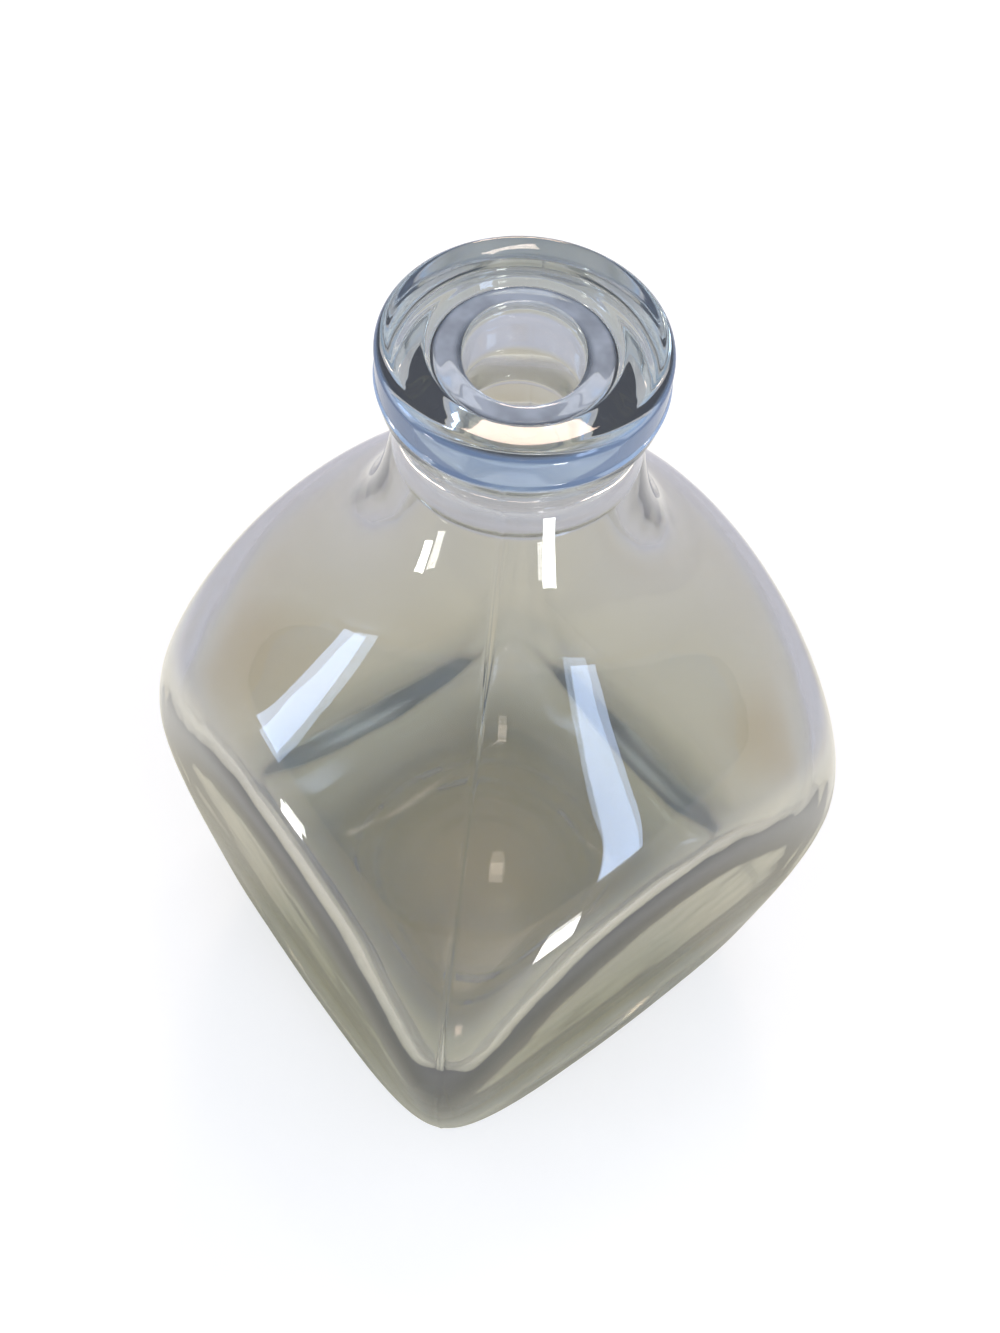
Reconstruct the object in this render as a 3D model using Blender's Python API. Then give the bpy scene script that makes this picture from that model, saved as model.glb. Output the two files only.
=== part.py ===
# Square whisky bottle in clear glass, blown in one piece, with an open flanged mouth
# Metres, +Z up. The origin is the middle of the face that the bottle stands on.
# The four flat sides face +X, -X, +Y and -Y, and the rounded corners lie between them.
import math

import bmesh
import bpy
import numpy as np

# Body outside
total_height = 0.1727
side_half_width_at_foot = 0.0458
side_half_width_at_shoulder = 0.0493
side_shoulder_height = 0.100
side_bow_share = 0.138
foot_corner_reach = 0.0562
low_corner_height = 0.0181
low_corner_reach = 0.0610
widest_height = 0.0490
widest_reach = 0.0697
shoulder_height = 0.0721
shoulder_reach = 0.0639
upper_shoulder_height = 0.1064
upper_shoulder_reach = 0.0456
flare_height = 0.1255
flare_reach = 0.0281
arch_blend = 0.0102
heel_radius = 0.0115
corner_heel_radius = 0.0185

# Neck and lip outside
neck_radius = 0.01625
lip_radius = 0.01875
rim_round = 0.0014
lip_wall_depth = 0.0059
parting_step = 0.00025
lip_tuck_depth = 0.0099
lip_tuck_radius = 0.0173
neck_top_depth = 0.0137

# Mouth
dish_radius = 0.0117
dish_round = 0.0007
dish_fall = 0.0015
dish_depth = 0.0029
seat_depth = 0.0025
seat_radius = 0.0113
bore_radius = 0.00765
bore_entry_round = 0.0016
bore_depth = 0.0160
collar_depth = 0.0225

# Glass thickness
side_wall = 0.0044
shoulder_wall = 0.0047
inner_arch_blend = 0.0070
floor_thickness = 0.0095
inner_heel_radius = 0.0180
inner_foot_inset = 0.0040
inner_corner_inset = 0.0020
inner_foot_height = 0.0400

# Underside
push_up_radius = 0.0240
push_up_edge_radius = 0.0215
push_up_edge_rise = 0.0004
push_up_shelf_radius = 0.0195
push_up_rise = 0.0012
push_up_ring_radius = 0.0150
push_up_shelf_rise = 0.0014
push_up_ring_inner_radius = 0.0130
push_up_ring_rise = 0.0021
push_up_centre_rise = 0.0024

# Mesh fineness
segments = 64
corner_crowding_share = 0.4
heel_steps = 5
body_steps = 30
inner_body_steps = 20
round_steps = 3
collar_steps = 4
floor_steps = 4
table_steps = 400
sharp_edge_angle = math.radians(30.0)

glass_colour = (0.80, 0.81, 0.77, 1.0)
glass_roughness = 0.02
glass_bend = 1.52


def smooth_lesser(first, second, blend):
    share = np.clip(0.5 + 0.5 * (second - first) / blend, 0.0, 1.0)
    return second * (1.0 - share) + first * share - blend * share * (1.0 - share)


def natural_spline(places, values):
    """A curve of even bend through the given points, straight at both ends."""
    places = np.array(places)
    values = np.array(values)
    steps = np.diff(places)
    count = len(places)
    matrix = np.eye(count)
    sums = np.zeros(count)
    for row in range(1, count - 1):
        matrix[row, row - 1] = steps[row - 1]
        matrix[row, row] = 2.0 * (steps[row - 1] + steps[row])
        matrix[row, row + 1] = steps[row]
        rise = (values[row + 1] - values[row]) / steps[row]
        fall = (values[row] - values[row - 1]) / steps[row - 1]
        sums[row] = 6.0 * (rise - fall)
    bends = np.linalg.solve(matrix, sums)

    def value_at(place):
        span = int(np.clip(np.searchsorted(places, place) - 1, 0, count - 2))
        width = steps[span]
        left = (places[span + 1] - place) / width
        right = (place - places[span]) / width
        curve = (left**3 - left) * bends[span] + (right**3 - right) * bends[span + 1]
        return left * values[span] + right * values[span + 1] + curve * width**2 / 6.0

    return value_at


neck_top = total_height - neck_top_depth
corner_line = natural_spline(
    [0.0, low_corner_height, widest_height, shoulder_height, upper_shoulder_height, flare_height, neck_top],
    [foot_corner_reach, low_corner_reach, widest_reach, shoulder_reach, upper_shoulder_reach, flare_reach,
     neck_radius],
)


def turned_radius(height):
    """The dome of the shoulders, running up into the flared neck."""
    return corner_line(min(height, neck_top))


def side_distance(angle, height, inset=0.0):
    """Distance from the axis to the four bowed sides, at this angle and height."""
    lean = (side_half_width_at_shoulder - side_half_width_at_foot) / side_shoulder_height
    half_width = side_half_width_at_foot + lean * height - inset
    power = 2.0 / side_bow_share
    across = abs(math.cos(angle)) ** power + abs(math.sin(angle)) ** power
    return half_width * across ** (-1.0 / power)


def corner_share(angle):
    """One on the four corners and zero in the middle of the sides."""
    return 0.5 - 0.5 * math.cos(4.0 * angle)


def heel_inset(height, radius):
    if height >= radius:
        return 0.0
    return radius - math.sqrt(radius**2 - (radius - height) ** 2)


def outside_radius(angle, height):
    body = smooth_lesser(side_distance(angle, height), turned_radius(height), arch_blend)
    heel = heel_radius + (corner_heel_radius - heel_radius) * corner_share(angle)
    return body - heel_inset(height, heel)


def inner_dome_table():
    """The dome's line moved inwards by the shoulder's wall, as heights and radii."""
    heights = np.linspace(0.0, total_height, table_steps)
    radii = np.array([turned_radius(height) for height in heights])
    slopes = np.gradient(radii, heights)
    lengths = np.sqrt(1.0 + slopes**2)
    inner_heights = heights + shoulder_wall * slopes / lengths
    inner_radii = radii - shoulder_wall / lengths
    return inner_heights, inner_radii


inner_heights, inner_radii = inner_dome_table()


def inside_radius(angle, height):
    dome = np.interp(height, inner_heights, inner_radii)
    body = smooth_lesser(side_distance(angle, height, side_wall), dome, inner_arch_blend)
    rise = height - floor_thickness
    lowness = max(0.0, 1.0 - rise / inner_foot_height) ** 2
    foot = (inner_foot_inset + inner_corner_inset * corner_share(angle)) * lowness
    return body - foot - heel_inset(rise, inner_heel_radius)


def ring_angles():
    """Angles around the axis, closer together at the four corners."""
    even = [2.0 * math.pi * (index + 0.5) / segments for index in range(segments)]
    return [angle + corner_crowding_share * math.sin(4.0 * angle) / 4.0 for angle in even]


def turned_ring(radius, height):
    return [(radius * math.cos(angle), radius * math.sin(angle), height) for angle in ring_angles()]


def shaped_ring(radius_at, height):
    ring = []
    for angle in ring_angles():
        radius = radius_at(angle, height)
        ring.append((radius * math.cos(angle), radius * math.sin(angle), height))
    return ring


def arc_rings(centre_radius, centre_height, radius, start, end, steps):
    """Rings along a round edge, from one angle to another in the profile's plane."""
    rings = []
    for step in range(steps + 1):
        turn = start + (end - start) * step / steps
        rings.append(turned_ring(centre_radius + radius * math.cos(turn), centre_height + radius * math.sin(turn)))
    return rings


def heel_heights(radius, base, steps):
    return [base + radius * (1.0 - math.cos(0.5 * math.pi * step / steps)) for step in range(steps)]


def underside_rings():
    return [
        turned_ring(push_up_ring_inner_radius / 2.0, push_up_centre_rise),
        turned_ring(push_up_ring_inner_radius, push_up_ring_rise),
        turned_ring(push_up_ring_radius, push_up_shelf_rise),
        turned_ring(push_up_shelf_radius, push_up_rise),
        turned_ring(push_up_edge_radius, push_up_edge_rise),
        turned_ring(push_up_radius, 0.0),
    ]


def body_rings():
    heel = heel_heights(corner_heel_radius, 0.0, heel_steps)
    rings = [shaped_ring(outside_radius, height) for height in heel]
    for step in range(body_steps + 1):
        height = corner_heel_radius + (neck_top - corner_heel_radius) * step / body_steps
        rings.append(shaped_ring(outside_radius, height))
    return rings


def lip_rings():
    """Up the tucked underside of the lip, past its parting line and over the rim."""
    parting = total_height - lip_wall_depth
    tuck = total_height - lip_tuck_depth
    rings = [turned_ring((neck_radius + lip_tuck_radius) / 2.0, (tuck + neck_top) / 2.0)]
    for step in range(round_steps + 1):
        turn = 0.5 * math.pi * step / round_steps
        radius = lip_tuck_radius + (lip_radius - parting_step - lip_tuck_radius) * math.sin(turn)
        rings.append(turned_ring(radius, parting - (parting - tuck) * math.cos(turn)))
    rings.append(turned_ring(lip_radius, parting + parting_step))
    rings += arc_rings(lip_radius - rim_round, total_height - rim_round, rim_round, 0.0, 0.5 * math.pi, round_steps)
    return rings


def mouth_rings():
    """Down the dished face to the stopper's seat and round into the bore."""
    dish_edge = lip_radius - 2.0 * rim_round
    seat = total_height - seat_depth
    rings = [
        turned_ring(dish_edge, total_height - rim_round / 4.0),
        turned_ring(dish_radius + dish_round, total_height - dish_fall),
        turned_ring(dish_radius, total_height - dish_depth),
        turned_ring(seat_radius, seat),
    ]
    entry = bore_radius + bore_entry_round
    rings += arc_rings(entry, seat - bore_entry_round, bore_entry_round, 0.5 * math.pi, math.pi, round_steps)
    rings.append(turned_ring(bore_radius, total_height - bore_depth))
    return rings


def inner_rings():
    """Below the bore: out under the collar, down the wall and over the floor."""
    top = total_height - collar_depth
    bore_end = total_height - bore_depth
    neck_inside = inside_radius(0.0, top)
    rings = []
    for step in range(1, collar_steps):
        share = step / collar_steps
        bend = 0.5 - 0.5 * math.cos(math.pi * share)
        radius = bore_radius + (neck_inside - bore_radius) * bend
        rings.append(turned_ring(radius, bore_end + (top - bore_end) * share))
    low = floor_thickness + inner_heel_radius
    for step in range(inner_body_steps):
        rings.append(shaped_ring(inside_radius, top + (low - top) * step / inner_body_steps))
    heel = heel_heights(inner_heel_radius, floor_thickness, heel_steps)
    rings += [shaped_ring(inside_radius, height) for height in [low] + heel[::-1]]
    floor_outline = rings[-1]
    for step in range(1, floor_steps):
        share = 1.0 - step / floor_steps
        rings.append([(share * x, share * y, z) for x, y, z in floor_outline])
    return rings


def loft(name, rings, first_centre, last_centre):
    """Joins the rings one after another and closes both ends at a point on the axis."""
    shape = bmesh.new()
    loops = [[shape.verts.new(point) for point in ring] for ring in rings]
    first = shape.verts.new(first_centre)
    last = shape.verts.new(last_centre)
    for index in range(segments):
        after = (index + 1) % segments
        shape.faces.new((first, loops[0][after], loops[0][index]))
        for low, high in zip(loops, loops[1:]):
            shape.faces.new((low[index], low[after], high[after], high[index]))
        shape.faces.new((last, loops[-1][index], loops[-1][after]))
    mesh = bpy.data.meshes.new(name)
    shape.to_mesh(mesh)
    shape.free()
    mesh.shade_smooth()
    mesh.set_sharp_from_angle(angle=sharp_edge_angle)
    return bpy.data.objects.new(name, mesh)


def clear_glass():
    material = bpy.data.materials.new("clear_glass")
    material.use_nodes = True
    shader = material.node_tree.nodes["Principled BSDF"]
    shader.inputs["Base Color"].default_value = glass_colour
    shader.inputs["Roughness"].default_value = glass_roughness
    shader.inputs["Metallic"].default_value = 0.0
    shader.inputs["IOR"].default_value = glass_bend
    shader.inputs["Transmission Weight"].default_value = 1.0
    return material


def glass_bottle():
    rings = underside_rings() + body_rings() + lip_rings() + mouth_rings() + inner_rings()
    foot_centre = (0.0, 0.0, push_up_centre_rise)
    floor_centre = (0.0, 0.0, floor_thickness)
    bottle = loft("glass_bottle", rings, foot_centre, floor_centre)
    bottle.data.materials.append(clear_glass())
    return bottle


def build():
    for old in list(bpy.data.objects):
        bpy.data.objects.remove(old)
    parts = bpy.data.collections.new("whisky_bottle")
    bpy.context.scene.collection.children.link(parts)
    parts.objects.link(glass_bottle())


build()
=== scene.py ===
import math

import bpy
import numpy as np
from mathutils import Matrix, Vector, noise


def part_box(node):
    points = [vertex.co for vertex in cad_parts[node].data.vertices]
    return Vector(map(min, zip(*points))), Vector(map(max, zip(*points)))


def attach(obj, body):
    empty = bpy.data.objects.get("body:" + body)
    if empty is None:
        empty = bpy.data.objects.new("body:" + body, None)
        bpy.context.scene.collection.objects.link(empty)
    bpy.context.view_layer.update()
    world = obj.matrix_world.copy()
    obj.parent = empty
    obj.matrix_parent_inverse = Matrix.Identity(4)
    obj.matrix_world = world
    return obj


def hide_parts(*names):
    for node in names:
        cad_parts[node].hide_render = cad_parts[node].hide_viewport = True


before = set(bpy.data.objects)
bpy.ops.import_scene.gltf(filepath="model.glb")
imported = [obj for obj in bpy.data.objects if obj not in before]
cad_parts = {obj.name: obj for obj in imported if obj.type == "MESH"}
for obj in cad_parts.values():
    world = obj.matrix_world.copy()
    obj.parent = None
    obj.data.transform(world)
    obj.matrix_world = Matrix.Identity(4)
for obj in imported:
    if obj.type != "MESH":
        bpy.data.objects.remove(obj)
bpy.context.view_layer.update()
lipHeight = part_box("glass_bottle")[1].z
print("frame: the bottle stands", round(lipHeight * 1000, 1), "mm tall")


# Camera, from above, over the front corner

portrait = {
    "aimHeight": 0.0939,       # the point on the bottle's axis that it looks at
    "distance": 0.2479,
    "azimuth": -40.71,         # degrees from +X, so a little to the right of the front corner
    "elevation": 59.16,
    "roll": 4.48,
    "lens": 39.60,             # mm, on a 36 mm tall sensor
    "sensor": 36.0,
    "nearest": 0.01,
}


def directionAt(azimuth, elevation):  # unit vector from degrees around and degrees up
    azimuth, elevation = math.radians(azimuth), math.radians(elevation)
    flat = math.cos(elevation)
    return Vector((math.cos(azimuth) * flat, math.sin(azimuth) * flat, math.sin(elevation)))


def placeCamera():
    camera = bpy.data.cameras.new("portrait")
    camera.sensor_width = portrait["sensor"]
    camera.lens = portrait["lens"]
    camera.clip_start = portrait["nearest"]
    holder = bpy.data.objects.new("portrait", camera)
    away = directionAt(portrait["azimuth"], portrait["elevation"])
    aim = Vector((0.0, 0.0, portrait["aimHeight"]))
    turn = (-away).to_track_quat("-Z", "Y").to_matrix().to_4x4()
    turn = turn @ Matrix.Rotation(math.radians(portrait["roll"]), 4, "Z")
    holder.matrix_world = Matrix.Translation(aim + away * portrait["distance"]) @ turn
    bpy.context.scene.collection.objects.link(holder)
    bpy.context.scene.camera = holder


placeCamera()
print("camera: placed over the front corner")


# Glass bottle: outside and inside in one skin, ring by ring

bottle = {
    "footHalfWidth": 0.0458,        # the flat sides, at the foot and near the shoulder
    "shoulderHalfWidth": 0.0493,
    "shoulderHeight": 0.100,
    "sidePower": 14.5,              # how square the plan is; the sides bow a little below 20
    "cornerHeights": (0.0, 0.0181, 0.0490, 0.0721, 0.1064, 0.1255),      # up to the neck's top
    "cornerReaches": (0.0562, 0.0610, 0.0697, 0.0639, 0.0456, 0.0281),
    "archBlend": 0.0102,            # roundness of the arched edges between sides and dome
    "heelRadius": 0.0115,
    "cornerHeelRadius": 0.0185,

    # neck and lip; depths are below the rim of the mouth
    "neckRadius": 0.01625,
    "neckTopDepth": 0.0137,
    "neckStep": 0.00002,            # keeps the lip's first point just off the neck
    "lipRadius": 0.01875,
    "rimRound": 0.0014,
    "rimInnerDrop": 0.00035,
    "partingDepth": 0.0059,
    "tuckDepth": 0.0099,
    "tuckRadius": 0.0173,
    "dishRadius": 0.0117,
    "dishDepth": 0.0029,
    "dishRound": 0.0007,
    "dishFall": 0.0015,
    "seatRadius": 0.0113,
    "seatDepth": 0.0025,
    "boreRadius": 0.00765,
    "boreRound": 0.0016,
    "boreDepth": 0.0160,
    "collarDepth": 0.0225,

    # inside
    "sideWall": 0.0044,
    "insidePower": 14.5,
    "insideArchBlend": 0.0070,
    "shoulderWall": 0.0047,
    "floorThickness": 0.0095,
    "innerHeelRadius": 0.0180,
    "innerFootInset": 0.0040,       # the wall thickens towards the floor, up to the height below
    "innerCornerInset": 0.0020,     # and more in the corners
    "innerFootHeight": 0.040,

    # underside
    "pushUpRadii": (0.0, 0.0065, 0.0130, 0.0150, 0.0195, 0.0215, 0.0240),
    "pushUpRises": (0.0024, 0.0024, 0.0021, 0.0014, 0.0012, 0.0004, 0.0),

    "seamAzimuths": (-45.0, 135.0),
    "seamHeights": (0.00015, 0.00004),       # the mould seam, plain in front and faint behind
    "seamHalfWidth": 0.00035,
    "seamInnerLimit": 0.0155,       # what lies nearer to the axis is inside the mouth and has no seam
    "partingHeight": 0.00028,       # the raised line where neck ring and body mould met
    "partingHalfWidth": 0.00026,
    "outerWave": 0.00003,           # unevenness of the skins
    "innerWave": 0.00009,
    "waveLength": 0.026,
    "fineWave": (0.4, 2.3),         # a second wave: its share of the first, and how much finer it is
    "waveShift": (0.31, 0.17, 0.05),
    "calmRadius": 0.012,            # the waves die out towards the axis
}
mesh = {
    "angles": 236,
    "cornerCrowding": 0.35,
    "seamCrowding": ((7.0, 0.012), (2.5, 0.045)),        # how much closer, over how many radians
    "profileStep": 0.00030,         # along the lip and mouth
    "bodyStep": 0.00150,
    "insideStep": 0.00190,
    "undersideStep": 0.0013,
    "edgeSoftness": 0.00022,        # how far the profile's corners are rubbed round
    "pushUpSoftness": 0.0005,
    "tuckPoints": 14,
    "collarPoints": 24,
    "bearingPoints": 14,
    "floorPoints": 24,
}


def softLesser(first, second, blend):
    share = np.clip(0.5 + 0.5 * (second - first) / blend, 0.0, 1.0)
    return second * (1.0 - share) + first * share - blend * share * (1.0 - share)


def easyCurve(places, values):  # natural cubic spline through a few points
    places, values = np.array(places), np.array(values)
    steps = np.diff(places)
    count = len(places)
    matrix, sums = np.eye(count), np.zeros(count)
    for row in range(1, count - 1):
        matrix[row, row - 1:row + 2] = steps[row - 1], 2.0 * (steps[row - 1] + steps[row]), steps[row]
        sums[row] = 6.0 * (np.diff(values)[row] / steps[row] - np.diff(values)[row - 1] / steps[row - 1])
    bends = np.linalg.solve(matrix, sums)

    def valueAt(place):
        place = np.clip(place, places[0], places[-1])
        span = np.clip(np.searchsorted(places, place) - 1, 0, count - 2)
        width = steps[span]
        left, right = (places[span + 1] - place) / width, (place - places[span]) / width
        curve = (left**3 - left) * bends[span] + (right**3 - right) * bends[span + 1]
        return left * values[span] + right * values[span + 1] + curve * width**2 / 6.0

    return valueAt


domeRadius = easyCurve(bottle["cornerHeights"] + (lipHeight - bottle["neckTopDepth"],),
                       bottle["cornerReaches"] + (bottle["neckRadius"],))


def sideReach(angle, height, inset=0.0, power=bottle["sidePower"]):
    lean = (bottle["shoulderHalfWidth"] - bottle["footHalfWidth"]) / bottle["shoulderHeight"]
    halfWidth = bottle["footHalfWidth"] + lean * height - inset
    across = np.abs(np.cos(angle)) ** power + np.abs(np.sin(angle)) ** power
    return halfWidth * across ** (-1.0 / power)


def cornerShare(angle):  # 1 on the corners, 0 in the middle of the flat sides
    return 0.5 - 0.5 * np.cos(4.0 * angle)


def heelInset(height, radius):
    below = np.clip(radius - height, 0.0, radius)
    return radius - np.sqrt(radius**2 - below**2)


def outsideRadius(angle, height):
    body = softLesser(sideReach(angle, height), domeRadius(height), bottle["archBlend"])
    heel = bottle["heelRadius"] + (bottle["cornerHeelRadius"] - bottle["heelRadius"]) * cornerShare(angle)
    return body - heelInset(height, heel)


def innerDome(count=900):  # the dome's line moved inwards by the wall
    heights = np.linspace(0.0, lipHeight, count)
    radii = domeRadius(heights)
    slopes = np.gradient(radii, heights)
    lengths = np.sqrt(1.0 + slopes**2)
    wall = bottle["shoulderWall"]
    return heights + wall * slopes / lengths, radii - wall / lengths


innerHeights, innerRadii = innerDome()


def insideRadius(angle, height):
    dome = np.interp(height, innerHeights, innerRadii)
    side = sideReach(angle, height, bottle["sideWall"], bottle["insidePower"])
    body = softLesser(side, dome, bottle["insideArchBlend"])
    rise = height - bottle["floorThickness"]
    lowness = np.clip(1.0 - rise / bottle["innerFootHeight"], 0.0, 1.0) ** 2
    foot = (bottle["innerFootInset"] + bottle["innerCornerInset"] * cornerShare(angle)) * lowness
    return body - foot - heelInset(rise, bottle["innerHeelRadius"])


def angleFrom(angles, seam):
    return np.angle(np.exp(1j * (angles - math.radians(seam))))


def ringAngles(count=20001):  # closer together on the corners, and closest on the mould seams
    fine = np.linspace(-math.pi, math.pi, count)
    crowd = 1.0 - mesh["cornerCrowding"] * np.cos(4.0 * fine)
    for seam in bottle["seamAzimuths"]:
        for amount, width in mesh["seamCrowding"]:
            crowd += amount * np.exp(-(angleFrom(fine, seam) / width) ** 2)
    total = np.concatenate([[0.0], np.cumsum((crowd[1:] + crowd[:-1]) / 2.0)])
    return np.interp(np.arange(mesh["angles"]) / mesh["angles"] * total[-1], total, fine)


def evenLine(points, step):  # the same line with its points a step apart
    points = np.array(points)
    lengths = np.concatenate([[0.0], np.cumsum(np.hypot(*np.diff(points, axis=0).T))])
    count = max(2, int(round(lengths[-1] / step)) + 1)
    places = np.linspace(0.0, lengths[-1], count)
    return np.stack([np.interp(places, lengths, points[:, axis]) for axis in range(2)], axis=1)


def rubbedLine(points, softness, steps=4, reach=10):  # rounds a line's corners by a running mean
    fine = evenLine(points, softness / steps)
    weights = np.exp(-0.5 * (np.arange(-reach, reach + 1) / steps) ** 2)
    weights /= weights.sum()
    padded = np.concatenate([np.repeat(fine[:1], reach, axis=0), fine, np.repeat(fine[-1:], reach, axis=0)])
    return np.stack([np.convolve(padded[:, axis], weights, mode="valid") for axis in range(2)], axis=1)


def arc(centreRadius, centreHeight, radius, start, end, steps=16):
    turns = np.linspace(math.radians(start), math.radians(end), steps)
    return list(zip(centreRadius + radius * np.cos(turns), centreHeight + radius * np.sin(turns)))


def mouthLine():  # from the top of the neck, over the lip, through the dish and down the bore
    top = lipHeight
    parting, tuck = top - bottle["partingDepth"], top - bottle["tuckDepth"]
    line = [(bottle["neckRadius"] + bottle["neckStep"], top - bottle["neckTopDepth"])]
    for turn in np.linspace(0.0, math.pi / 2.0, mesh["tuckPoints"]):
        reach = bottle["tuckRadius"] + (bottle["lipRadius"] - bottle["tuckRadius"]) * math.sin(turn)
        line.append((reach, parting - (parting - tuck) * math.cos(turn)))
    rim = bottle["rimRound"]
    line += arc(bottle["lipRadius"] - rim, top - rim, rim, 0.0, 90.0)
    line.append((bottle["lipRadius"] - 2.0 * rim, top - bottle["rimInnerDrop"]))
    line.append((bottle["dishRadius"] + bottle["dishRound"], top - bottle["dishFall"]))
    line.append((bottle["dishRadius"], top - bottle["dishDepth"]))
    line.append((bottle["seatRadius"], top - bottle["seatDepth"]))
    entry = bottle["boreRound"]
    line += arc(bottle["boreRadius"] + entry, top - bottle["seatDepth"] - entry, entry, 90.0, 180.0)
    line.append((bottle["boreRadius"], top - bottle["boreDepth"]))
    collar = top - bottle["collarDepth"]
    neckInside = float(insideRadius(0.0, collar))
    for share in np.linspace(0.0, 1.0, mesh["collarPoints"])[1:]:
        bend = 0.5 - 0.5 * math.cos(math.pi * share)
        reach = bottle["boreRadius"] + (neckInside - bottle["boreRadius"]) * bend
        line.append((reach, top - bottle["boreDepth"] + (collar - top + bottle["boreDepth"]) * share))
    return evenLine(rubbedLine(line, mesh["edgeSoftness"]), mesh["profileStep"])


def wallHeights(reachAt, low, high, step, count=3000):  # keeps the rings a step apart along the corner
    heights = np.linspace(low, high, count)
    corner = reachAt(math.pi / 4.0, heights)
    return evenLine(np.stack([corner, heights], axis=1), step)[:, 1]


def skinWave(points):  # slow unevenness of a glass skin
    shift = Vector(bottle["waveShift"])
    scale = 1.0 / bottle["waveLength"]
    share, finer = bottle["fineWave"]
    slow = [noise.noise((Vector(point) + shift) * scale) for point in points]
    fine = [noise.noise((Vector(point) - shift) * scale * finer) for point in points]
    return np.array(slow) + share * np.array(fine)


def bottleRings(angles):  # every ring from the middle of the foot round to the middle of the inner floor
    rings = []
    underside = rubbedLine(list(zip(bottle["pushUpRadii"], bottle["pushUpRises"])), mesh["pushUpSoftness"])
    for radius, rise in evenLine(underside, mesh["undersideStep"])[1:]:
        rings.append(("foot", np.full(len(angles), radius), rise))
    footLine = outsideRadius(angles, 0.0)
    for share in np.linspace(0.0, 1.0, mesh["bearingPoints"])[1:-1]:
        rings.append(("foot", bottle["pushUpRadii"][-1] * (1.0 - share) + footLine * share, 0.0))
    neckTop = lipHeight - bottle["neckTopDepth"]
    for height in wallHeights(outsideRadius, 0.0, neckTop, mesh["bodyStep"]):
        rings.append(("outside", outsideRadius(angles, height), height))
    mouth = mouthLine()
    for radius, height in mouth[1:]:
        rings.append(("mouth", np.full(len(angles), radius), height))
    floor = bottle["floorThickness"]
    for height in wallHeights(insideRadius, floor, mouth[-1][1], mesh["insideStep"])[::-1][1:]:
        rings.append(("inside", insideRadius(angles, height), height))
    floorLine = insideRadius(angles, floor)
    for share in np.linspace(1.0, 0.0, mesh["floorPoints"])[1:-1]:
        rings.append(("inside", floorLine * share, floor))
    return rings


def bottlePoints(rings, angles):
    points = np.zeros((len(rings), len(angles), 3))
    partingHeight = lipHeight - bottle["partingDepth"]
    for index, (part, radii, height) in enumerate(rings):
        radii = radii.copy()
        outer = part in ("outside", "mouth") and radii.min() > bottle["seamInnerLimit"]
        if outer and height <= partingHeight:
            for seam, rise in zip(bottle["seamAzimuths"], bottle["seamHeights"]):
                off = angleFrom(angles, seam) * radii
                radii += rise * np.exp(-(off / bottle["seamHalfWidth"]) ** 2)
        if part == "mouth" and radii.min() > bottle["tuckRadius"]:
            off = (height - partingHeight) / bottle["partingHalfWidth"]
            radii += bottle["partingHeight"] * math.exp(-off**2)
        heights = np.full(len(angles), height)
        points[index] = np.stack([radii * np.cos(angles), radii * np.sin(angles), heights], axis=1)
    return points


def waveSizes(rings):  # no waves where the bottle stands or where its mouth was pressed true
    sizes = []
    for part, radii, height in rings:
        if part == "inside":
            sizes.append(bottle["innerWave"])
        elif part == "outside":
            sizes.append(bottle["outerWave"] * min(1.0, height / bottle["heelRadius"]))
        else:
            sizes.append(0.0)
    return np.array(sizes)


def wavedPoints(rings, points):
    waves = skinWave(points.reshape(-1, 3)).reshape(points.shape[:2]) * waveSizes(rings)[:, None]
    reach = np.hypot(points[..., 0], points[..., 1])
    calm = np.clip(reach / bottle["calmRadius"], 0.0, 1.0)
    points[..., :2] *= (1.0 + waves * calm / reach)[..., None]
    return points


def glassBottle():
    angles = ringAngles()
    rings = bottleRings(angles)
    points = wavedPoints(rings, bottlePoints(rings, angles))
    count, turns = len(rings), len(angles)
    footMiddle = (0.0, 0.0, bottle["pushUpRises"][0])
    floorMiddle = (0.0, 0.0, bottle["floorThickness"])
    corners = [tuple(point) for point in points.reshape(-1, 3)] + [footMiddle, floorMiddle]
    first, last = len(corners) - 2, len(corners) - 1
    faces = []
    for turn in range(turns):
        after = (turn + 1) % turns
        faces.append((first, after, turn))
        for ring in range(count - 1):
            low, high = ring * turns, (ring + 1) * turns
            faces.append((low + turn, low + after, high + after, high + turn))
        lastRing = (count - 1) * turns
        faces.append((last, lastRing + turn, lastRing + after))
    skin = bpy.data.meshes.new("bottleSkin")
    skin.from_pydata(corners, [], faces)
    skin.shade_smooth()
    piece = bpy.data.objects.new("bottleSkin", skin)
    bpy.context.scene.collection.objects.link(piece)
    return piece


# Small steps that the materials share

def setOrLink(tree, socket, value):  # an output is linked, a number or a colour is set
    if isinstance(value, bpy.types.NodeSocket):
        tree.links.new(value, socket)
    else:
        socket.default_value = value


def combined(tree, kind, *values):
    step = tree.nodes.new("ShaderNodeMath")
    step.operation = kind
    for socket, value in zip(step.inputs, values):
        setOrLink(tree, socket, value)
    return step.outputs["Value"]


def chained(tree, kind, first, *others):  # the same step again and again
    for other in others:
        first = combined(tree, kind, first, other)
    return first


def mapped(tree, value, low, high, start, end, ease="SMOOTHSTEP"):  # start at low, end at high
    remap = tree.nodes.new("ShaderNodeMapRange")
    remap.interpolation_type = ease
    for name, number in (("From Min", low), ("From Max", high), ("To Min", start), ("To Max", end)):
        remap.inputs[name].default_value = number
    tree.links.new(value, remap.inputs["Value"])
    return remap.outputs["Result"]


def stepAt(tree, value, place, edges, start, end):  # from start to end over two edges beside a place
    return mapped(tree, value, place + edges[0], place + edges[1], start, end)


def ringed(tree, reach, radii, most):  # rises over the first two radii and falls over the last two
    first, full, last, gone = radii
    return combined(tree, "MULTIPLY", mapped(tree, reach, first, full, 0.0, most),
                    mapped(tree, reach, last, gone, 1.0, 0.0))


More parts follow.
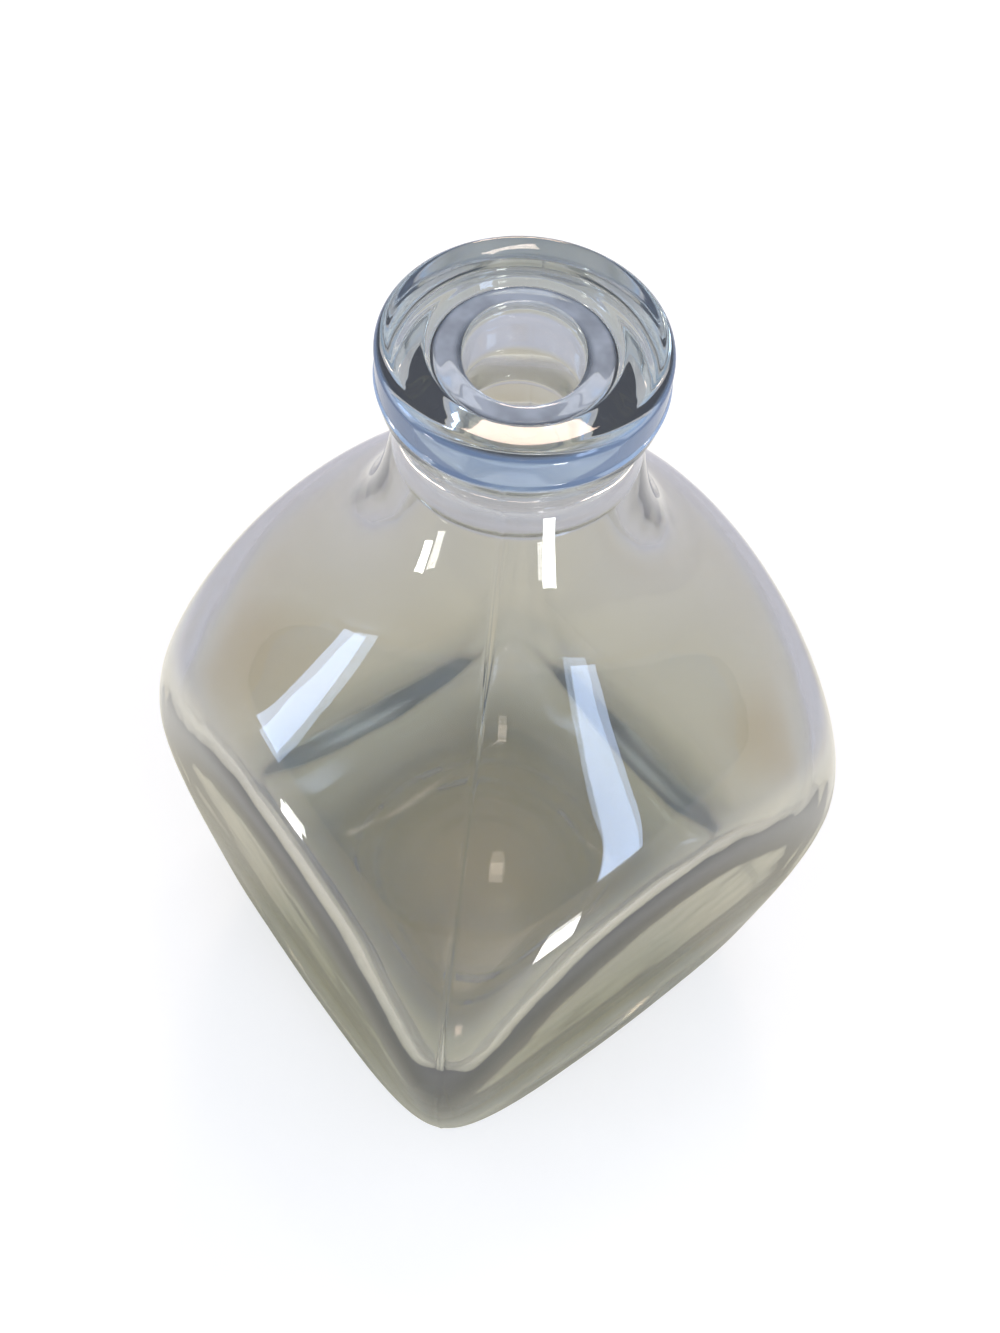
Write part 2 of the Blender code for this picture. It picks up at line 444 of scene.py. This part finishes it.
def cloudy(tree, place, scale, detail=2.0):
    cloud = tree.nodes.new("ShaderNodeTexNoise")
    cloud.inputs["Scale"].default_value = scale
    cloud.inputs["Detail"].default_value = detail
    tree.links.new(place, cloud.inputs["Vector"])
    return cloud.outputs["Fac"]


def distanceFrom(tree, place, centre=(0.0, 0.0, 0.0)):
    gap = tree.nodes.new("ShaderNodeVectorMath")
    gap.operation = "DISTANCE"
    tree.links.new(place, gap.inputs[0])
    gap.inputs[1].default_value = centre
    return gap.outputs["Value"]


def reachFromAxis(tree, parts):
    flat = tree.nodes.new("ShaderNodeCombineXYZ")
    tree.links.new(parts.outputs["X"], flat.inputs["X"])
    tree.links.new(parts.outputs["Y"], flat.inputs["Y"])
    return distanceFrom(tree, flat.outputs["Vector"])


def mixed(tree, factor, first, second, blend="MIX"):
    mix = tree.nodes.new("ShaderNodeMix")
    mix.data_type = "RGBA"
    mix.blend_type = blend
    setOrLink(tree, mix.inputs["Factor"], factor)
    setOrLink(tree, mix.inputs["A"], first)
    setOrLink(tree, mix.inputs["B"], second)
    return mix.outputs["Result"]


def rampOf(tree, factor, tones, ease="LINEAR"):  # tones are places from 0 to 1 with their colours
    ramp = tree.nodes.new("ShaderNodeValToRGB")
    ramp.color_ramp.interpolation = ease
    stops = ramp.color_ramp.elements
    while len(stops) < len(tones):
        stops.new(0.5)
    for stop, (place, colour) in zip(stops, tones):
        stop.position = place
        stop.color = colour
    tree.links.new(factor, ramp.inputs["Fac"])
    return ramp.outputs["Color"]


# Clear glass

glass = {
    "bend": 1.52,
    "depthColour": (0.62, 0.61, 0.45, 1.0),
    "depthDensity": 28.0,           # per metre of glass
    "skinTints": ((0.0, (0.955, 0.965, 0.960, 1.0)), (1.0, (0.985, 0.985, 0.985, 1.0))),
    "tintScale": 30.0,
    "lipPaintedSkylight": (0.86, 0.92, 1.0, 1.0),      # painted window light: the pressed lip is coloured bluer for the light of the windows
    "wallPaintedSkylight": (0.56, 0.74, 1.0, 1.0),     # and its outer wall most, also painted window light

    # dust and wear that scatter a little light; edges and heights are in metres
    "haze": 0.015,
    "lipHaze": 0.08,                # more of it on the pressed lip
    "wallHaze": 0.32,               # on the lip's outer wall
    "landHaze": 0.48,               # and most on the rubbed land round the stopper bore
    "boreShare": 0.13,              # of that on the wall of the bore
    "landWear": (0.3, 0.7, 0.75, 1.1),      # noise from and to, share of the haze from and to
    "landWearScale": 260.0,
    "footHaze": 0.04,               # scuffs on the underside, which end over the heights below
    "footHeights": (0.003, 0.014),
    "scuffHaze": 0.22,              # two worn rings where it stands
    "scuffRadii": (0.0245, 0.0300),
    "scuffEdges": (0.0003, 0.0016),
    "heelHaze": 0.15,               # on the heel and the foot of the walls, over the heights below
    "heelHeights": (0.006, 0.013, 0.026, 0.040),
    "scuffScale": 70.0,
    "scuffDetail": 4.0,
    "scuffPatches": (0.35, 0.70, 0.2, 1.8),
    "heelPatches": (0.3, 0.7, 0.8, 1.2),

    "smudge": 0.035,                # roughness of the few smudged places
    "smudgeScale": 55.0,
    "smudgeDetail": 5.0,
    "smudgeEdges": (0.58, 0.75),
    "lipRoughness": 0.04,           # the pressed lip
    "footRoughness": 0.17,          # the mould-chilled foot, which smooths out over the heights below
    "footRoughHeights": (0.014, 0.048),
    "rippleScale": 90.0,
    "rippleDetail": 1.0,
    "rippleHeight": 0.00004,

    # where one finish turns into the next, beside the tuck, the parting line, the lip's wall and the land
    "tuckHazeEdges": (-0.001, 0.002),
    "tuckEdges": (-0.001, 0.001),
    "partingEdges": (-0.0010, 0.0002),
    "wallHazeEdges": (-0.0008, -0.0002),
    "wallPaintedSkylightEdges": (-0.0006, -0.0002),
    "landEdges": (-0.0004, 0.0006),
}


def lipHaze(tree, height, reach):
    onLip = stepAt(tree, height, lipHeight - bottle["tuckDepth"], glass["tuckHazeEdges"], 0.0, 1.0)
    onLip = mapped(tree, onLip, 0.0, 1.0, glass["haze"], glass["lipHaze"])
    onWall = stepAt(tree, reach, bottle["lipRadius"], glass["wallHazeEdges"], 0.0, glass["wallHaze"])
    overParting = stepAt(tree, height, lipHeight - bottle["partingDepth"], glass["partingEdges"], 0.0, 1.0)
    return combined(tree, "MAXIMUM", onLip, combined(tree, "MULTIPLY", onWall, overParting))


def boreHaze(tree, place, height, reach):  # on the land, and less on the wall of the bore
    high = mapped(tree, height, lipHeight - bottle["collarDepth"], lipHeight - bottle["boreDepth"], 0.0, 1.0)
    near = stepAt(tree, reach, bottle["seatRadius"], glass["landEdges"], 1.0, 0.0)
    wear = mapped(tree, cloudy(tree, place, glass["landWearScale"]), *glass["landWear"])
    worn = combined(tree, "MULTIPLY", wear, glass["landHaze"])
    onLand = stepAt(tree, reach, bottle["boreRadius"], (0.0, bottle["boreRound"]), glass["boreShare"], 1.0)
    return chained(tree, "MULTIPLY", high, near, worn, onLand)


def footHaze(tree, place, height, reach):
    low = mapped(tree, height, *glass["footHeights"], 1.0, 0.0)
    scuffs = cloudy(tree, place, glass["scuffScale"], glass["scuffDetail"])
    patchy = mapped(tree, scuffs, *glass["scuffPatches"])
    onFoot = chained(tree, "MULTIPLY", low, patchy, glass["footHaze"])
    for radius in glass["scuffRadii"]:
        off = combined(tree, "ABSOLUTE", combined(tree, "SUBTRACT", reach, radius))
        ring = mapped(tree, off, *glass["scuffEdges"], glass["scuffHaze"], 0.0)
        onFoot = combined(tree, "MAXIMUM", onFoot, chained(tree, "MULTIPLY", ring, patchy, low))
    onHeel = ringed(tree, height, glass["heelHeights"], glass["heelHaze"])
    onHeel = combined(tree, "MULTIPLY", onHeel, mapped(tree, scuffs, *glass["heelPatches"]))
    return combined(tree, "MAXIMUM", onFoot, onHeel)


def glassTintAndPaintedSkylight(tree, place, height, reach):  # nearly white, and bluer on the lip and its wall, where window light is painted into the colour
    tint = rampOf(tree, cloudy(tree, place, glass["tintScale"]), glass["skinTints"])
    onWall = stepAt(tree, reach, bottle["lipRadius"], glass["wallPaintedSkylightEdges"], 0.0, 1.0)
    overParting = stepAt(tree, height, lipHeight - bottle["partingDepth"], glass["partingEdges"], 0.0, 1.0)
    wall = combined(tree, "MULTIPLY", onWall, overParting)
    # painted window light: a blue colour on the lip, strongest on its outer wall
    paintedSkylight = mixed(tree, wall, glass["lipPaintedSkylight"], glass["wallPaintedSkylight"])
    onLip = stepAt(tree, height, lipHeight - bottle["tuckDepth"], glass["tuckEdges"], 0.0, 1.0)
    return mixed(tree, onLip, tint, paintedSkylight, "MULTIPLY")


def glassRoughness(tree, place, height):
    smudges = cloudy(tree, place, glass["smudgeScale"], glass["smudgeDetail"])
    smudged = mapped(tree, smudges, *glass["smudgeEdges"], 0.0, glass["smudge"], "LINEAR")
    foot = mapped(tree, height, *glass["footRoughHeights"], glass["footRoughness"], 0.0)
    tuck = lipHeight - bottle["tuckDepth"]
    lip = stepAt(tree, height, tuck, glass["tuckEdges"], 0.0, glass["lipRoughness"])
    return chained(tree, "MAXIMUM", foot, lip, smudged)


def clearGlass():
    material = bpy.data.materials.new("clearGlass")
    material.use_nodes = True
    tree = material.node_tree
    shader = tree.nodes["Principled BSDF"]
    shader.inputs["IOR"].default_value = glass["bend"]
    place = tree.nodes.new("ShaderNodeTexCoord").outputs["Object"]
    parts = tree.nodes.new("ShaderNodeSeparateXYZ")
    tree.links.new(place, parts.inputs["Vector"])
    height, reach = parts.outputs["Z"], reachFromAxis(tree, parts)
    haze = chained(tree, "MAXIMUM", lipHaze(tree, height, reach), boreHaze(tree, place, height, reach),
                   footHaze(tree, place, height, reach))
    tree.links.new(combined(tree, "SUBTRACT", 1.0, haze), shader.inputs["Transmission Weight"])
    tree.links.new(glassTintAndPaintedSkylight(tree, place, height, reach), shader.inputs["Base Color"])
    tree.links.new(glassRoughness(tree, place, height), shader.inputs["Roughness"])
    bump = tree.nodes.new("ShaderNodeBump")
    bump.inputs["Distance"].default_value = glass["rippleHeight"]
    tree.links.new(cloudy(tree, place, glass["rippleScale"], glass["rippleDetail"]), bump.inputs["Height"])
    tree.links.new(bump.outputs["Normal"], shader.inputs["Normal"])
    depth = tree.nodes.new("ShaderNodeVolumeAbsorption")
    depth.inputs["Color"].default_value = glass["depthColour"]
    depth.inputs["Density"].default_value = glass["depthDensity"]
    tree.links.new(depth.outputs["Volume"], tree.nodes["Material Output"].inputs["Volume"])
    return material


bottleSkin = glassBottle()
bottleSkin.data.materials.append(clearGlass())
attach(bottleSkin, "root")
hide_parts("glass_bottle")
print("bottle:", len(bottleSkin.data.polygons), "faces")


# Floor, room and lamps

white = (1.0, 1.0, 1.0, 1.0)
studio = {
    "floorSize": 8.0,
    "floorDrop": 0.0002,            # keeps the floor just under the bottle
    "paperRoughness": 0.85,
    "paperColour": (0.66, 0.64, 0.585, 1.0),     # what the camera itself sees of it

    # the paper's tones through the glass, from under the bottle outwards, by metres from its axis; darkest
    # about 44 mm out, round the foot, as painted shade for the bottle's contact shadow
    "floorTonesPaintedShade": ((0.0, (0.62, 0.48, 0.20, 1.0)), (0.028, (0.50, 0.42, 0.18, 1.0)),
                   (0.044, (0.41, 0.37, 0.19, 1.0)), (0.066, (0.66, 0.61, 0.44, 1.0)),
                   (0.115, (0.63, 0.59, 0.47, 1.0)), (0.20, (0.57, 0.56, 0.58, 1.0))),
    "floorReach": 0.40,
    "patchTone": (0.88, 0.80, 0.68, 1.0),        # browner patches in it: place and radius in metres
    "patches": ((-0.092, -0.012, 0.034), (0.010, 0.084, 0.020)),
    "patchEdges": (0.5, 1.6),                    # shares of the radius
    "cloudScale": 22.0,
    "cloudStain": (0.50, 0.75, 0.0, 0.35),       # noise from and to, share of the patch tone from and to

    # lifts the floor to white for the camera, and a little for what is mirrored and seen through glass
    "floorGlow": {"lighting": 0.0, "camera": 0.47, "mirrored": 0.10, "through": 0.15},
    "mirrorGlow": 0.42,             # and more for mirroring in a ring of it round the bottle
    "mirrorReach": (0.078, 0.106, 0.135, 0.20),

    # the room's colours from the foot of the walls up to the ceiling, by the height of the direction
    "roomColours": ((-0.05, (0.40, 0.58, 1.0, 1.0)), (0.20, (0.60, 0.74, 1.0, 1.0)),
                    (0.45, (0.80, 0.86, 1.0, 1.0)), (0.80, (0.89, 0.90, 1.0, 1.0))),
    "roomLevel": {"lighting": 0.88, "camera": 1.0, "mirrored": 0.30, "through": 0.98},
    "lampAim": 0.09,                # the height that the lamps look at
}
# where each lamp stands: degrees around from +X, degrees up, metres from the bottle
lamps = (
    {"name": "windowLeft", "around": -121.0, "up": 8.0, "away": 1.45,
     "size": (0.29, 0.52), "power": 3.8, "colour": (0.54, 0.69, 1.0)},
    {"name": "windowRight", "around": 4.8, "up": 11.5, "away": 1.45,
     "size": (0.34, 0.72), "power": 6.2, "colour": (0.54, 0.69, 1.0)},
    {"name": "warmLamp", "around": 141.0, "up": 20.0, "away": 1.2,
     "size": (0.27, 0.27), "power": 2.8, "colour": (1.0, 0.74, 0.60)},
    {"name": "ceilingWarm", "around": 125.0, "up": 74.0, "away": 1.0,
     "size": (0.16, 0.06), "power": 0.36, "colour": (1.0, 0.86, 0.74)},
    {"name": "lowWarm", "around": -37.0, "up": 17.5, "away": 1.2,
     "size": (0.08, 0.08), "power": 0.06, "colour": (1.0, 0.86, 0.72)},
    {"name": "glintRight", "around": -10.8, "up": -17.5, "away": 0.21,
     "size": (0.034, 0.034), "power": 0.065, "colour": (1.0, 1.0, 1.0)},
    {"name": "glintLeft", "around": -103.0, "up": -17.0, "away": 0.22,
     "size": (0.024, 0.024), "power": 0.033, "colour": (1.0, 1.0, 1.0)},
)


def levelByRay(tree, path, levels):  # one level for lighting, others for what is looked at
    total = levels["lighting"]
    # a ray that comes through clear glass counts as a glossy one too
    for ray, use, base in (("Is Camera Ray", "camera", "lighting"), ("Is Glossy Ray", "mirrored", "lighting"),
                           ("Is Transmission Ray", "through", "mirrored")):
        total = combined(tree, "MULTIPLY_ADD", path.outputs[ray], levels[use] - levels[base], total)
    return total


def paperTonePaintedShade(tree, place, reach):
    # the paper's tone for rays through the glass, with painted shade in a ring round the bottle's foot
    share = mapped(tree, reach, 0.0, studio["floorReach"], 0.0, 1.0, "LINEAR")
    tones = [(distance / studio["floorReach"], colour) for distance, colour in studio["floorTonesPaintedShade"]]
    clouds = cloudy(tree, place, studio["cloudScale"])
    stain = mapped(tree, clouds, *studio["cloudStain"])
    first, last = studio["patchEdges"]
    for x, y, radius in studio["patches"]:
        uneven = combined(tree, "MULTIPLY", clouds, radius)
        edge = combined(tree, "ADD", distanceFrom(tree, place, (x, y, 0.0)), uneven)
        stain = combined(tree, "MAXIMUM", stain, mapped(tree, edge, radius * first, radius * last, 1.0, 0.0))
    return mixed(tree, stain, rampOf(tree, share, tones, "EASE"), studio["patchTone"], "MULTIPLY")


def paperGlow(tree, path, reach):
    mirrored = combined(tree, "SUBTRACT", path.outputs["Is Glossy Ray"], path.outputs["Is Transmission Ray"])
    ring = ringed(tree, reach, studio["mirrorReach"], studio["mirrorGlow"])
    extra = combined(tree, "MULTIPLY", combined(tree, "MAXIMUM", mirrored, 0.0), ring)
    return combined(tree, "ADD", levelByRay(tree, path, studio["floorGlow"]), extra)


def palePaper():
    material = bpy.data.materials.new("palePaper")
    material.use_nodes = True
    tree = material.node_tree
    shader = tree.nodes["Principled BSDF"]
    shader.inputs["Roughness"].default_value = studio["paperRoughness"]
    place = tree.nodes.new("ShaderNodeTexCoord").outputs["Object"]
    path = tree.nodes.new("ShaderNodeLightPath")
    reach = distanceFrom(tree, place)
    # rays other than the camera's see the tone with the painted shade round the foot
    toneWithPaintedShade = paperTonePaintedShade(tree, place, reach)
    paper = mixed(tree, path.outputs["Is Camera Ray"], toneWithPaintedShade, studio["paperColour"])
    tree.links.new(paper, shader.inputs["Base Color"])
    glow = mixed(tree, path.outputs["Is Transmission Ray"], white, toneWithPaintedShade)
    tree.links.new(glow, shader.inputs["Emission Color"])
    tree.links.new(paperGlow(tree, path, reach), shader.inputs["Emission Strength"])
    return material


def paleFloor():
    half = studio["floorSize"] / 2.0
    corners = [(-half, -half, 0.0), (half, -half, 0.0), (half, half, 0.0), (-half, half, 0.0)]
    sheet = bpy.data.meshes.new("paleFloor")
    sheet.from_pydata(corners, [], [(0, 1, 2, 3)])
    sheet.materials.append(palePaper())
    floor = bpy.data.objects.new("paleFloor", sheet)
    floor.location.z = -studio["floorDrop"]
    bpy.context.scene.collection.objects.link(floor)


def room():
    world = bpy.data.worlds.new("room")
    bpy.context.scene.world = world
    world.use_nodes = True
    tree = world.node_tree
    back = tree.nodes["Background"]
    parts = tree.nodes.new("ShaderNodeSeparateXYZ")
    tree.links.new(tree.nodes.new("ShaderNodeTexCoord").outputs["Generated"], parts.inputs["Vector"])
    share = mapped(tree, parts.outputs["Z"], -1.0, 1.0, 0.0, 1.0, "LINEAR")
    walls = rampOf(tree, share, [(0.5 + level / 2.0, colour) for level, colour in studio["roomColours"]])
    path = tree.nodes.new("ShaderNodeLightPath")
    tree.links.new(mixed(tree, path.outputs["Is Camera Ray"], walls, white), back.inputs["Color"])
    tree.links.new(levelByRay(tree, path, studio["roomLevel"]), back.inputs["Strength"])


def hangLamps():
    aim = Vector((0.0, 0.0, studio["lampAim"]))
    for lamp in lamps:
        light = bpy.data.lights.new(lamp["name"], "AREA")
        light.shape = "RECTANGLE"
        light.size, light.size_y = lamp["size"]
        light.energy = lamp["power"]
        light.color = lamp["colour"]
        holder = bpy.data.objects.new(lamp["name"], light)
        away = directionAt(lamp["around"], lamp["up"])
        turn = away.to_track_quat("Z", "Y").to_matrix().to_4x4()
        holder.matrix_world = Matrix.Translation(aim + away * lamp["away"]) @ turn
        holder.visible_camera = False
        bpy.context.scene.collection.objects.link(holder)


paleFloor()
room()
hangLamps()
bpy.context.scene.view_settings.view_transform = "Standard"
print("studio: floor, room and", len(lamps), "lamps")
